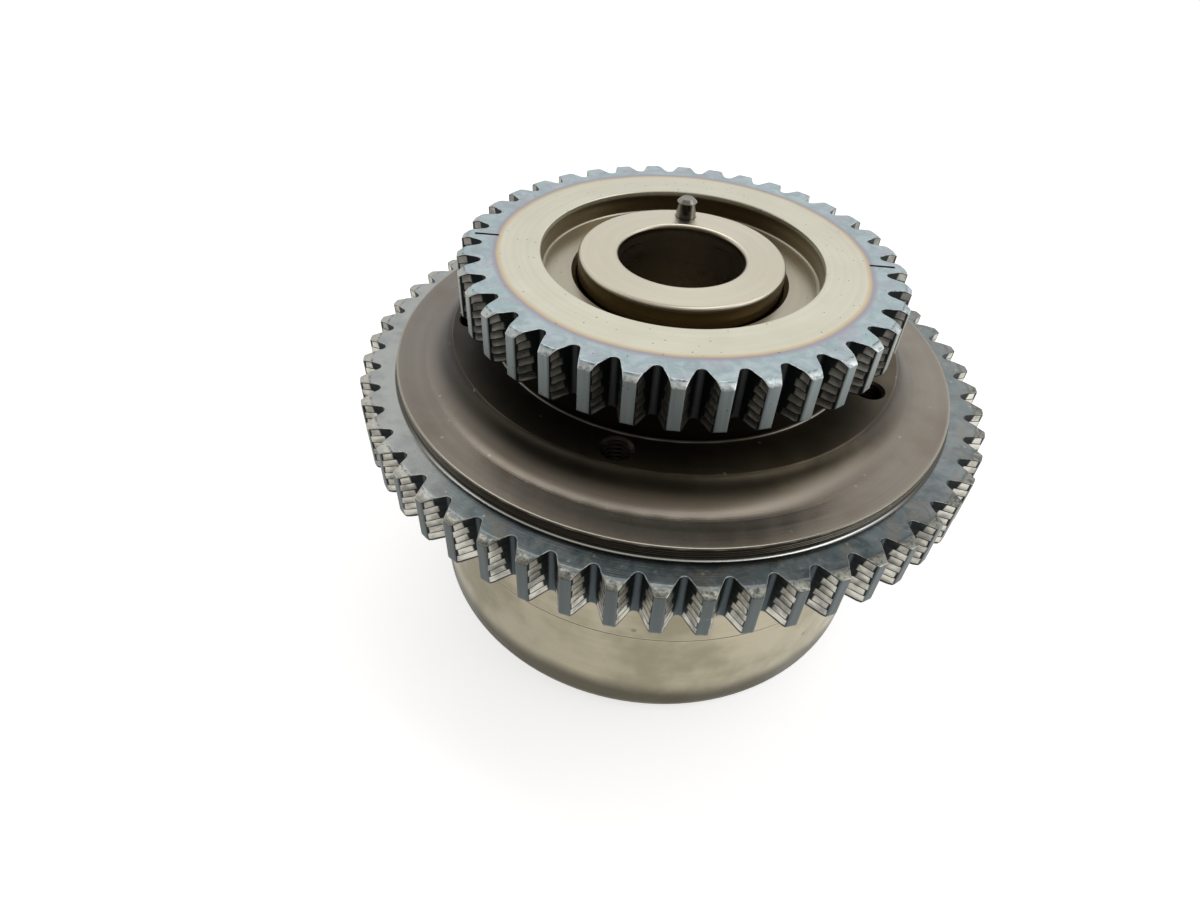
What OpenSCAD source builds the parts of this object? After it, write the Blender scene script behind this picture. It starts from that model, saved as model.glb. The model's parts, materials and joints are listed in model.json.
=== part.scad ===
// Cam phaser: two chain sprockets on a vane drum, with a rotor that swings inside it.
// Millimetres, +Z up along the common axis, origin at the middle of the drum's flat front face.

/* [Chains] */
// Pitch of both inverted-tooth chains
chain_pitch = 6.35; // [5:0.05:10]
// Height of the small sprocket's tooth tips above the circle that its chain pins' chords touch
small_rise = 0.1; // [-0.5:0.05:0.5]
// Height of the large sprocket's tooth tips above the circle that its chain pins' chords touch
big_rise = -0.25; // [-0.5:0.05:0.5]

/* [Secondary sprocket] */
// Number of teeth
small_teeth = 36; // [24:1:44]
// Face width of the teeth
small_width = 8.5; // [6:0.1:12]
// Depth of the tooth gaps
small_depth = 3.8; // [2.5:0.1:4.5]
// Slope of each tooth side from the middle line of its gap, in degrees
small_flank = 25; // [15:0.5:32]
// Radius at the bottom of a tooth gap
small_root = 0.85; // [0.4:0.05:1.2]
// Angle of the first tooth, in degrees
small_phase = 2.9; // [0:0.1:10]
// Step from the bottom of the tooth gaps in to the neck
neck_step = 1.2; // [0.5:0.1:4]
// Height of the neck
neck_h = 5.45; // [3:0.05:10]
// Radius of the trough in the top face
trough_r = 23.05; // [21:0.05:28]
// Depth of the trough
trough_depth = 3.9; // [2:0.1:6]
// Thickness of the web under the trough
web_t = 4; // [2.5:0.1:5]
// Bevel at the web's bore
web_bevel = 0.7; // [0.2:0.1:1.5]
// Numbers of the teeth with a timing mark, counted from the first tooth
mark_teeth = [0, 18];
// Width of a timing mark
mark_w = 0.5; // [0.3:0.05:1]
// Length of a timing mark
mark_len = 3.9; // [1:0.1:4.5]
// Distance of a timing mark from the tooth tips
mark_gap = 2.2; // [1.3:0.1:3]

/* [Primary sprocket] */
// Number of teeth
big_teeth = 54; // [50:1:64]
// Face width of the teeth
big_width = 9.05; // [6:0.05:12]
// Depth of the tooth gaps
big_depth = 3.4; // [2.5:0.1:4.5]
// Slope of each tooth side from the middle line of its gap, in degrees
big_flank = 29.5; // [20:0.5:32]
// Radius at the bottom of a tooth gap
big_root = 0.8; // [0.3:0.05:1]
// Angle of the first tooth, in degrees
big_phase = -0.2; // [-4:0.1:4]
// Land of the toothed ring between the tooth gaps and the raised plate
ring_land = 2.9; // [1.5:0.05:5]
// Height of the raised plate above the toothed ring
plate_h = 2.15; // [0.5:0.05:4]
// Land of the boss outside the bolt circle
boss_land = 3.6; // [3:0.1:5]
// Height of the boss above the plate
boss_h = 3.95; // [2:0.05:6]
// Hollow fillet between the boss and the plate
boss_fillet = 5.3; // [0.5:0.1:6]
// Wall of the spigot that carries the secondary sprocket
spigot_wall = 8; // [4:0.1:10]

/* [Tooth bevels] */
// Bevel along the radius at the top of the small sprocket's teeth
small_bevel_r = 1.25; // [0.4:0.05:1.6]
// Bevel along the axis at the top of the small sprocket's teeth
small_bevel_h = 0.65; // [0.2:0.05:1]
// Bevel at the bottom of the small sprocket's teeth, both ways
small_low = 0.7; // [0.2:0.05:1]
// Bevel along the radius at the top of the large sprocket's teeth
big_bevel_r = 1.4; // [0.4:0.05:1.6]
// Bevel along the axis at the top of the large sprocket's teeth
big_bevel_h = 0.2; // [0.1:0.05:1]
// Bevel at the bottom of the large sprocket's teeth, both ways
big_low = 0.35; // [0.2:0.05:1]

/* [Drum] */
// Outer radius of the drum
drum_r = 43.75; // [42.5:0.05:46]
// Wall of the drum around the oil chambers
chamber_wall = 5.25; // [4.5:0.05:7]
// Height of the chamber housing
housing_h = 16.9; // [15:0.05:26]
// Height of the front cover
cover_h = 22.5; // [21:0.1:30]
// Thickness of the cover's floor
floor_t = 5; // [3:0.1:6]
// Radius of the rounded bottom edge
edge_r = 3; // [0.5:0.1:5]
// Radius of the room for the return spring
spring_room_r = 20.2; // [19.5:0.1:21]

/* [Vanes] */
// Swing of the rotor from its rest stop, in degrees
swing = 25; // [10:1:30]
// Width of each lobe of the housing, in degrees
lobe_w = 19; // [17:0.5:21]
// Width of each plain vane, in degrees
vane_w = 17; // [12:0.5:20]
// Spacing of the two lobes beside the lock pin's vane, in degrees
wide_step = 77.6; // [74:0.1:84]
// Angle left between the lock pin's vane and the lobes at either stop, in degrees
stop_gap = 0.6; // [0.3:0.1:1.5]
// Radius of the rotor's core
core_r = 24; // [23:0.1:26]

/* [Rotor hub] */
// Radius of the hub
hub_r = 17; // [15:0.1:18]
// Radius of the bore for the camshaft bolt
bore_r = 10.45; // [8:0.05:11]
// Depth of the hub's face below the secondary sprocket's face
hub_recess = 0.6; // [0:0.1:2]
// Radius of the nose inside the return spring
nose_r = 14; // [12.5:0.1:14.5]
// Depth of the nose's end above the drum's front face
nose_recess = 1; // [0.5:0.1:3]
// Radius of the oil drillings
oil_r = 1.25; // [0.5:0.05:1.6]
// Rounding of the hub's edges
hub_round = 0.7; // [0.2:0.1:1.2]

/* [Dowel pin] */
// Radius of the pin's free end
dowel_r = 1.75; // [1:0.05:1.9]
// Wall of the hub outside the pin
dowel_wall = 0.95; // [0.7:0.05:1.2]
// Angle of the pin, in degrees
dowel_angle = 91; // [60:1:120]
// Height of the pin above the hub's face
dowel_stand = 3.3; // [1.5:0.1:6]
// Depth of the pin in the hub
dowel_seat = 5; // [3:0.1:10]
// Step from the pin's free end out to its thicker shank
dowel_step = 0.2; // [0.2:0.05:0.4]

/* [Fasteners] */
// Thread diameter of the housing bolts
bolt_d = 5; // [4:0.5:5]
// Distance of the bolts inwards from the middle of the land behind the lobes' seals
bolt_in = 1.2; // [0:0.1:2]
// Angle of the first bolt, in degrees
bolt_angle = -99.4; // [-110:0.1:-90]
// Length of open thread left above each bolt's end
thread_open = 5.5; // [1:0.1:9]
// Depth of the bolt heads' seats in the cover
head_depth = 6.5; // [5.5:0.1:12]
// Radius of the alignment pins
align_r = 1.5; // [1:0.1:1.8]
// Length of an alignment pin in the cover and in the sprocket
align_seat = 5; // [3:0.1:8]

/* [Seals] */
// Width of the seal bars
seal_w = 2; // [1.5:0.1:2.5]
// Height of the seal bars
seal_h = 2.8; // [2:0.1:3.2]
// Room for the leaf spring behind a seal bar
leaf_room = 1.1; // [0.8:0.05:1.5]
// Thickness of the leaf springs
leaf_t = 0.25; // [0.15:0.05:0.4]

/* [Lock pin] */
// Radius of the pin's body
pin_r = 4; // [3.4:0.1:4.4]
// Radius of the pin's nose
pin_nose_r = 2.8; // [2:0.1:3]
// Wall between the pin's bore and the vane's seal slot
pin_wall = 0.95; // [0.6:0.05:2]
// Room left for the coils under the drawn-back pin
pin_room = 3.55; // [3:0.05:6]
// Thickness of the pin's crown above its hollow
pin_crown = 3; // [2:0.1:5]
// Depth of the nose in its seat
pin_engage = 2.5; // [1.5:0.1:3]
// Distance that the pin draws back
pin_travel = 3; // [2:0.1:3.5]
// Thickness of the hardened seat
seat_t = 4; // [3.2:0.1:5]
// Wall of the seat around its slot
seat_wall = 1.9; // [1:0.1:2.2]
// Thickness of the plug under the pin's spring
plug_t = 1.5; // [1:0.1:2.5]
// Wire diameter of the pin's spring
pin_wire = 0.7; // [0.4:0.05:0.8]

/* [Return spring] */
// Wire diameter
bias_wire = 2.6; // [1.5:0.1:2.8]
// Number of turns
bias_turns = 4.25; // [2.25:1:5.25]
// Angle of the end that is held by the cover, in degrees
bias_angle = 30; // [0:1:90]
// Gap between neighbouring coils
coil_gap = 0.3; // [0.1:0.05:0.6]
// Reach of the inner end into the rotor's nose
tang_in = 1.5; // [0.8:0.1:1.8]
// Reach of the outer end into the cover's wall
tang_out = 1.5; // [0.8:0.1:2.5]

/* [Clearances] */
// Radial clearance of the rotor's hub in its bearing
running_gap = 0.05; // [0.02:0.01:0.09]
// Clearance at each flat side of the rotor
side_gap = 0.1; // [0.05:0.05:0.3]
// Clearance of the seal bars from the faces that they sweep
seal_gap = 0.15; // [0.05:0.05:0.3]
// Clearance of the vanes and lobes from the faces that they pass
vane_gap = 0.35; // [0.3:0.05:0.6]
// Clearance of pieces that are pushed into a slot or hole
fit_gap = 0.05; // [0.02:0.01:0.1]
// Clearance of the bolts in their through holes
bolt_gap = 0.25; // [0.1:0.05:0.5]
// Bevel on turned edges
edge = 0.3; // [0.1:0.05:0.5]

/* [Hidden] */
$fn = 96;
eps = 0.01;

// Heights of the faces, from the drum's front face upwards
z_housing = cover_h;
z_ring = z_housing + housing_h;
z_ring_top = z_ring + big_width;
z_plate = z_ring_top + plate_h;
z_boss = z_plate + boss_h;
z_small = z_boss + neck_h;
z_top = z_small + small_width;
z_trough = z_top - trough_depth;
z_web = z_trough - web_t;
z_hub = z_top - hub_recess;
z_vane = z_housing + side_gap;
z_vane_top = z_ring - side_gap;

// Radii that follow from the chains and the fits
function tip_radius(teeth, rise) = chain_pitch / 2 / tan(180 / teeth) + rise;
small_r = tip_radius(small_teeth, small_rise);
big_r = tip_radius(big_teeth, big_rise);
journal_r = hub_r + running_gap;
web_bore_r = hub_r + vane_gap;
spigot_r = hub_r + spigot_wall;
neck_r = small_r - small_depth - neck_step;
plate_r = big_r - big_depth - ring_land;
plate_foot = 2 * edge;
chamber_r = drum_r - chamber_wall;
seam = edge / 3;
vane_tip_r = chamber_r - vane_gap;
lobe_tip_r = core_r + vane_gap;
nose_opening_r = nose_r + 1;
dowel_at = hub_r - dowel_wall - dowel_r;
dowel_shank_r = dowel_r + dowel_step;

// Seal slots
slot_w = seal_w + 2 * fit_gap;
slot_depth = seal_h + leaf_room;
seal_end_gap = 1.5 * side_gap;
vane_slot_r = chamber_r - seal_gap - slot_depth;
lobe_slot_r = core_r + seal_gap + slot_depth;

// Lobes sit at the bolts, and each vane swings between two lobes
lobes = 5;
narrow_step = (360 - wide_step) / (lobes - 1);
function lobe_angle(i) = bolt_angle + (i == 0 ? 0 : wide_step + (i - 1) * narrow_step);
function step_after(i) = i == 0 ? wide_step : narrow_step;
function vane_width(i) = i == 0 ? wide_step - lobe_w - swing - 2 * stop_gap : vane_w;
function vane_angle(i) = lobe_angle(i) + step_after(i) / 2 - swing / 2;
function vane_end(i) = vane_angle(i) + vane_width(i) / 2;
function between(i) =
    (i == lobes - 1 ? vane_angle(0) - vane_width(0) / 2 + 360 : vane_angle(i + 1) - vane_width(i + 1) / 2)
    - vane_end(i);
pin_angle = vane_angle(0);

// Bolts: thread, head and hexagon socket in their usual shares of the thread size
bolt_r = bolt_d / 2;
bolt_at = (lobe_slot_r + drum_r) / 2 - bolt_in;
boss_r = bolt_at + boss_land;
core_thread_r = bolt_d * 0.42;
head_r = bolt_d * 0.85;
head_h = bolt_d;
socket_r = bolt_d * 0.46;
socket_depth = bolt_d * 0.5;
thread_mouth = 0.4;
align_at = (chamber_r + drum_r) / 2;
align_lobes = [1, 3];

// Lock pin: stack of plug, spring and pin in the wide vane
plug_lift = 0.4;
pin_at = vane_slot_r - pin_wall - pin_r;
z_plug = z_vane + plug_lift;
z_pin = z_plug + plug_t + pin_room + pin_travel;
pin_body = z_vane_top - z_pin;
pin_hollow_r = pin_nose_r - side_gap;
pin_hollow = pin_body - pin_crown;
slot_half = pin_nose_r + vane_gap;
seat_half = slot_half + seat_wall;
pin_turns = 7;

// Return spring: coils between the nose and the wall of its room
bias_mean_r = (nose_r + spring_room_r) / 2;
z_bias = floor_t + side_gap + bias_wire / 2;
bias_pitch = bias_wire + coil_gap;
z_bias_end = z_bias + bias_turns * bias_pitch;
tang_angle = bias_angle - 360 * bias_turns;
tang_gap = 0.4;

// A point at a radius and an angle
function polar(r, a) = [r * cos(a), r * sin(a)];

// Points of an arc from one angle to another
function arc(centre, r, from, to, n) =
    [for (k = [0:n]) centre + polar(r, from + (to - from) * k / n)];

// Half of a tooth gap that points along +Y: the round bottom, then the straight side up to the tip
function half_gap(tip, depth, flank, root) =
    let (centre = [0, tip - depth + root])
    let (foot = centre + polar(root, -flank))
    let (rise = sqrt(tip * tip - pow(foot[0] + depth * tan(flank), 2)) - foot[1])
    concat(arc(centre, root, -90, -flank, 4), [foot + rise * [tan(flank), 1]]);

// Outline of a toothed ring: each gap is its half and the mirror of that half, turned to its place
module toothed_outline(teeth, tip, depth, flank, root, phase) {
    half = half_gap(tip, depth, flank, root);
    last = len(half) - 1;
    gap = concat([for (k = [last:-1:0]) half[k]],
                 [for (k = [1:last]) [-half[k][0], half[k][1]]]);
    pitch = 360 / teeth;
    polygon([for (i = [0:teeth - 1])
        let (turn = phase + (i + 0.5) * pitch - 90)
        for (p = gap)
            [p[0] * cos(turn) - p[1] * sin(turn), p[0] * sin(turn) + p[1] * cos(turn)]]);
}

// Sector of a ring between two radii, centred on an angle
module sector(inner, outer, width, angle, height) {
    rotate(angle - width / 2)
        rotate_extrude(angle = width)
            translate([inner, 0])
                square([outer - inner, height]);
}

// Part ring along the lock pin's path through the rotor's swing
module swing_track(half, height) {
    reach = swing + 2 * asin(half / pin_at);
    sector(pin_at - half, pin_at + half, reach, pin_angle + swing / 2, height);
}

// Copies of the children at every bolt
module at_bolts() {
    for (i = [0:lobes - 1])
        rotate(lobe_angle(i))
            translate([bolt_at, 0])
                children();
}

// Copies of the children at every alignment pin
module at_alignment() {
    for (i = align_lobes)
        rotate(lobe_angle(i))
            translate([align_at, 0])
                children();
}

// Round wire swept along a path that stays nearly level, as one closed skin
module wire(path, d, sides) {
    n = len(path);
    function along(k) = path[min(k + 1, n - 1)] - path[max(k - 1, 0)];
    rings = [for (k = [0:n - 1])
        let (t = along(k) / norm(along(k)))
        let (side = cross(t, [0, 0, 1]) / norm(cross(t, [0, 0, 1])))
        let (up = cross(side, t))
        for (j = [0:sides - 1])
            path[k] + d / 2 * (cos(360 * j / sides) * side + sin(360 * j / sides) * up)];
    skin = [for (k = [0:n - 2], j = [0:sides - 1])
        let (a = k * sides + j)
        let (b = k * sides + (j + 1) % sides)
        [a, b, b + sides, a + sides]];
    ends = [[for (j = [sides - 1:-1:0]) j],
            [for (j = [0:sides - 1]) (n - 1) * sides + j]];
    polyhedron(points = rings, faces = concat(skin, ends), convexity = 10);
}

// Small sprocket with its trough, its web and its neck
module secondary_sprocket() {
    mark_r = small_r - mark_gap - mark_len;
    color("#b9b3a0")
        difference() {
            intersection() {
                rotate_extrude()
                    polygon([
                        [web_bore_r, z_web],
                        [web_bore_r, z_trough - web_bevel],
                        [web_bore_r + web_bevel, z_trough],
                        [trough_r, z_trough],
                        [trough_r, z_top - edge],
                        [trough_r + edge, z_top],
                        [small_r - small_bevel_r, z_top],
                        [small_r, z_top - small_bevel_h],
                        [small_r, z_small + small_low],
                        [small_r - small_low, z_small],
                        [neck_r, z_small],
                        [neck_r, z_boss + edge],
                        [neck_r - edge, z_boss],
                        [spigot_r, z_boss],
                        [spigot_r, z_web]
                    ]);
                translate([0, 0, z_boss])
                    linear_extrude(z_top - z_boss)
                        toothed_outline(small_teeth, small_r, small_depth, small_flank,
                                        small_root, small_phase);
            }
            for (i = mark_teeth)
                rotate(small_phase + i * 360 / small_teeth)
                    translate([mark_r, -mark_w / 2, z_top - mark_w / 2])
                        cube([mark_len, mark_w, mark_w]);
        }
}

// Large sprocket: toothed ring, raised plate, boss with tapped holes, and the spigot that bears the rotor
module primary_sprocket() {
    wall = boss_h - edge;
    hollow = min(boss_fillet, plate_r - boss_r - edge);
    lean = hollow > wall ? asin(1 - wall / hollow) : 0;
    color("#6d7478")
        difference() {
            intersection() {
                rotate_extrude()
                    polygon(concat(
                        [[journal_r, z_ring],
                         [big_r - big_low, z_ring],
                         [big_r, z_ring + big_low],
                         [big_r, z_ring_top - big_bevel_h],
                         [big_r - big_bevel_r, z_ring_top],
                         [plate_r + plate_foot, z_ring_top],
                         [plate_r, z_ring_top + plate_foot / 2],
                         [plate_r, z_plate - edge],
                         [plate_r - edge, z_plate]],
                        arc([boss_r + hollow * cos(lean), z_plate + hollow], hollow, 270, 180 + lean, 8),
                        lean > 0 ? [] : [[boss_r, z_boss - edge]],
                        [[boss_r - edge, z_boss],
                         [spigot_r - fit_gap, z_boss],
                         [spigot_r - fit_gap, z_web - side_gap],
                         [journal_r, z_web - side_gap]]
                    ));
                translate([0, 0, z_ring])
                    linear_extrude(z_web - z_ring)
                        toothed_outline(big_teeth, big_r, big_depth, big_flank, big_root, big_phase);
            }
            at_bolts()
                translate([0, 0, z_ring - 1])
                    cylinder(r = core_thread_r, h = z_boss - z_ring + 2);
            at_bolts()
                translate([0, 0, z_boss - thread_mouth])
                    cylinder(r1 = core_thread_r, r2 = core_thread_r + 2 * thread_mouth,
                             h = 2 * thread_mouth);
            at_alignment()
                translate([0, 0, z_ring - 1])
                    cylinder(r = align_r + fit_gap, h = align_seat + 1);
            translate([0, 0, z_ring - 1])
                swing_track(seat_half + fit_gap, seat_t + side_gap + 1);
        }
}

// Chamber ring: pockets cut between its inward lobes, each lobe with a bolt hole and a seal slot
module vane_housing() {
    color("#a39c86")
        translate([0, 0, z_housing])
            difference() {
                rotate_extrude()
                    polygon([
                        [lobe_tip_r, 0],
                        [drum_r - seam, 0],
                        [drum_r, seam],
                        [drum_r, housing_h],
                        [lobe_tip_r, housing_h]
                    ]);
                for (i = [0:lobes - 1])
                    translate([0, 0, -1])
                        sector(core_r - 1, chamber_r, step_after(i) - lobe_w,
                               lobe_angle(i) + step_after(i) / 2, housing_h + 2);
                at_bolts()
                    translate([0, 0, -1])
                        cylinder(r = bolt_r + bolt_gap, h = housing_h + 2);
                at_alignment()
                    translate([0, 0, -1])
                        cylinder(r = align_r + fit_gap, h = housing_h + 2);
                for (i = [0:lobes - 1])
                    rotate(lobe_angle(i))
                        translate([core_r - 1, -slot_w / 2, -1])
                            cube([lobe_slot_r - core_r + 1, slot_w, housing_h + 2]);
            }
}

// Front cover: closes the chambers, houses the return spring and seats the bolt heads
module front_cover() {
    round_edge = min(edge_r, floor_t - edge);
    notch_w = bias_wire + 2 * tang_gap;
    z_notch = z_bias_end - bias_wire / 2 - tang_gap;
    color("#a39c86")
        difference() {
            rotate_extrude()
                polygon(concat(
                    [[nose_opening_r + edge, 0]],
                    arc([drum_r - round_edge, round_edge], round_edge, -90, 0, 10),
                    [[drum_r, cover_h - seam],
                     [drum_r - seam, cover_h],
                     [spring_room_r, cover_h],
                     [spring_room_r, floor_t],
                     [nose_opening_r, floor_t],
                     [nose_opening_r, edge]]
                ));
            at_bolts()
                translate([0, 0, -1])
                    cylinder(r = head_r + bolt_gap, h = head_depth + 1);
            at_bolts()
                cylinder(r = bolt_r + bolt_gap, h = cover_h + 1);
            at_alignment()
                translate([0, 0, cover_h - align_seat])
                    cylinder(r = align_r + fit_gap, h = align_seat + 1);
            rotate(bias_angle)
                translate([0, -notch_w / 2, z_notch])
                    cube([spring_room_r + tang_out + tang_gap, notch_w, cover_h - z_notch + 1]);
        }
}

// Rotor: hub, core and nose turned in one, vanes with seal slots, oil drillings and the lock pin's bore
module vane_rotor() {
    slot_reach = 2 * asin((bias_wire / 2 + tang_gap) / nose_r);
    oil_lead = asin((oil_r + edge) / core_r);
    color("#c9c4b4")
        difference() {
            rotate_extrude()
                polygon(concat(
                    [[bore_r + edge, nose_recess],
                     [nose_r - edge, nose_recess],
                     [nose_r, nose_recess + edge],
                     [nose_r, z_vane],
                     [vane_tip_r, z_vane],
                     [vane_tip_r, z_vane_top],
                     [hub_r, z_vane_top]],
                    arc([hub_r - hub_round, z_hub - hub_round], hub_round, 0, 90, 5),
                    arc([bore_r + hub_round, z_hub - hub_round], hub_round, 90, 180, 5),
                    [[bore_r, nose_recess + edge]]
                ));
            for (i = [0:lobes - 1])
                translate([0, 0, z_vane - 1])
                    sector(core_r, chamber_r, between(i), vane_end(i) + between(i) / 2, housing_h + 2);
            for (i = [0:lobes - 1])
                rotate(vane_angle(i))
                    translate([vane_slot_r, -slot_w / 2, z_vane - 1])
                        cube([slot_depth + 1, slot_w, housing_h + 2]);
            for (i = [0:lobes - 1], end = [-1, 1])
                rotate(vane_angle(i) + end * (vane_width(i) / 2 + oil_lead))
                    translate([0, 0, (z_vane + z_vane_top) / 2 + end * housing_h / 5])
                        rotate([0, 90, 0])
                            cylinder(r = oil_r, h = core_r + 1, $fn = 32);
            rotate(pin_angle)
                translate([pin_at, 0, z_vane - 1])
                    cylinder(r = pin_r, h = housing_h + 2);
            rotate(dowel_angle)
                translate([dowel_at, 0, z_hub - dowel_seat])
                    cylinder(r = dowel_shank_r, h = dowel_seat + 1);
            translate([0, 0, nose_recess - 1])
                sector(nose_r - tang_in - tang_gap, nose_r + 1, swing + slot_reach,
                       tang_angle - swing / 2, z_bias + bias_wire / 2 + tang_gap - nose_recess + 1);
        }
}

// Dowel that locates the camshaft, its thicker shank pressed into the hub's face
module dowel_pin() {
    color("#d8d5cc")
        rotate(dowel_angle)
            translate([dowel_at, 0])
                rotate_extrude()
                    polygon([
                        [0, z_hub - dowel_seat],
                        [dowel_shank_r, z_hub - dowel_seat],
                        [dowel_shank_r, z_hub],
                        [dowel_r, z_hub],
                        [dowel_r, z_hub + dowel_stand - 2 * edge],
                        [dowel_r - 2 * edge, z_hub + dowel_stand],
                        [0, z_hub + dowel_stand]
                    ]);
}

// Lock pin: a cup with a slim nose
module lock_pin() {
    color("#cfccc2")
        rotate(pin_angle)
            translate([pin_at, 0, z_pin])
                rotate_extrude()
                    polygon([
                        [pin_hollow_r, 0],
                        [pin_r - running_gap - edge, 0],
                        [pin_r - running_gap, edge],
                        [pin_r - running_gap, pin_body - edge],
                        [pin_r - running_gap - edge, pin_body],
                        [pin_nose_r, pin_body],
                        [pin_nose_r, pin_body + side_gap + pin_engage - edge],
                        [pin_nose_r - edge, pin_body + side_gap + pin_engage],
                        [0, pin_body + side_gap + pin_engage],
                        [0, pin_hollow],
                        [pin_hollow_r, pin_hollow]
                    ]);
}

// Coil spring from the plug up into the lock pin's hollow
module lock_pin_spring() {
    from = z_plug + plug_t + pin_wire / 2 + side_gap / 2;
    to = z_pin + pin_hollow - pin_wire / 2 - side_gap / 2;
    coil_r = pin_hollow_r - pin_wire / 2 - 2 * fit_gap;
    steps = 16;
    last = pin_turns * steps;
    color("#8f9498")
        rotate(pin_angle)
            translate([pin_at, 0])
                wire([for (k = [0:last])
                    let (a = 360 * k / steps)
                    let (rise = min(1, max(0, (k - steps) / (last - 2 * steps))))
                    [coil_r * cos(a), coil_r * sin(a), from + (to - from) * rise]], pin_wire, 8);
}

// Hardened seat for the lock pin, set into the underside of the large sprocket
module lock_pin_seat() {
    color("#8b8f94")
        translate([0, 0, z_ring])
            difference() {
                swing_track(seat_half, seat_t);
                translate([0, 0, -1])
                    swing_track(slot_half, seat_t + 2);
            }
}

// Plug that closes the lock pin's bore and carries its spring, with a vent hole
module lock_pin_plug() {
    color("#9aa0a4")
        rotate(pin_angle)
            translate([pin_at, 0, z_plug])
                difference() {
                    cylinder(r = pin_r - fit_gap, h = plug_t);
                    translate([0, 0, -eps])
                        cylinder(r = pin_wire, h = plug_t + 2 * eps);
                }
}

// Wound return spring: one end in a notch of the cover, the other in the slot of the nose
module bias_spring() {
    steps = 24;
    last = floor(bias_turns * steps);
    color("#7d8388")
        wire(concat(
            [concat(polar(nose_r - tang_in, tang_angle), [z_bias])],
            [concat(polar(bias_mean_r - bias_wire, tang_angle), [z_bias])],
            [for (k = [1:last - 1])
                concat(polar(bias_mean_r, tang_angle + 360 * bias_turns * k / last),
                       [z_bias + (z_bias_end - z_bias) * k / last])],
            [concat(polar(bias_mean_r + bias_wire, bias_angle), [z_bias_end])],
            [concat(polar(spring_room_r + tang_out, bias_angle), [z_bias_end])]), bias_wire, 10);
}

// Socket-head bolts from the cover through the housing into the large sprocket
module housing_bolts() {
    z_end = z_boss - thread_open;
    color("#55585a")
        at_bolts()
            difference() {
                union() {
                    translate([0, 0, head_depth - head_h])
                        cylinder(r = head_r, h = head_h);
                    translate([0, 0, head_depth - eps])
                        cylinder(r = bolt_r, h = z_ring - side_gap - head_depth + eps);
                    translate([0, 0, z_ring - side_gap - eps])
                        cylinder(r = core_thread_r - fit_gap, h = z_end - z_ring + side_gap + eps);
                }
                translate([0, 0, head_depth - head_h - eps])
                    cylinder(r = socket_r, h = socket_depth, $fn = 6);
            }
}

// Two plain pins that line up the cover, the housing and the large sprocket
module alignment_pins() {
    color("#b4b2aa")
        at_alignment()
            translate([0, 0, cover_h - align_seat + side_gap])
                cylinder(r = align_r, h = housing_h + 2 * (align_seat - side_gap));
}

// Seal bar at the tip of a vane
module vane_seal(i) {
    back = chamber_r - seal_gap - seal_h;
    color("#3b3f42")
        rotate(vane_angle(i))
            intersection() {
                translate([back, -seal_w / 2, z_vane + seal_end_gap])
                    cube([seal_h + 1, seal_w, z_vane_top - z_vane - 2 * seal_end_gap]);
                cylinder(r = chamber_r - seal_gap, h = z_ring);
            }
}

// Bowed leaf spring: an arc strip along the axis, with its ends at 0 and its crown at the rise
module leaf(length, rise, width) {
    bow_r = (length * length / 4 + rise * rise) / (2 * rise);
    half_turn = asin(length / 2 / bow_r);
    translate([0, width / 2, 0])
        rotate([90, 0, 0])
            linear_extrude(width)
                translate([rise - bow_r, 0])
                    polygon(concat(arc([0, 0], bow_r, -half_turn, half_turn, 12),
                                   arc([0, 0], bow_r - leaf_t, half_turn, -half_turn, 12)));
}

// Leaf spring behind a vane's seal bar
module vane_seal_spring(i) {
    color("#8f9498")
        rotate(vane_angle(i))
            translate([vane_slot_r + leaf_t, 0, (z_vane + z_vane_top) / 2])
                leaf(housing_h * 0.8, leaf_room - leaf_t - fit_gap, seal_w - 4 * fit_gap);
}

// Seal bar at the tip of a lobe
module lobe_seal(i) {
    color("#3b3f42")
        rotate(lobe_angle(i))
            difference() {
                translate([core_r, -seal_w / 2, z_housing + seal_end_gap])
                    cube([seal_gap + seal_h, seal_w, housing_h - 2 * seal_end_gap]);
                cylinder(r = core_r + seal_gap, h = z_ring);
            }
}

// Leaf spring behind a lobe's seal bar
module lobe_seal_spring(i) {
    color("#8f9498")
        rotate(lobe_angle(i))
            translate([lobe_slot_r - leaf_t, 0, z_housing + housing_h / 2])
                mirror([1, 0, 0])
                    leaf(housing_h * 0.8, leaf_room - leaf_t - fit_gap, seal_w - 4 * fit_gap);
}

secondary_sprocket();
primary_sprocket();
vane_housing();
front_cover();
vane_rotor();
dowel_pin();
lock_pin();
lock_pin_spring();
lock_pin_seat();
lock_pin_plug();
bias_spring();
housing_bolts();
alignment_pins();
for (i = [1:lobes]) {
    vane_seal(i - 1);
    vane_seal_spring(i - 1);
    lobe_seal(i - 1);
    lobe_seal_spring(i - 1);
}
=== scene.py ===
"""Cam phaser: worn sprocket teeth, heat-tinted steel and an oiled drum on a white studio floor."""
import json

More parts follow.
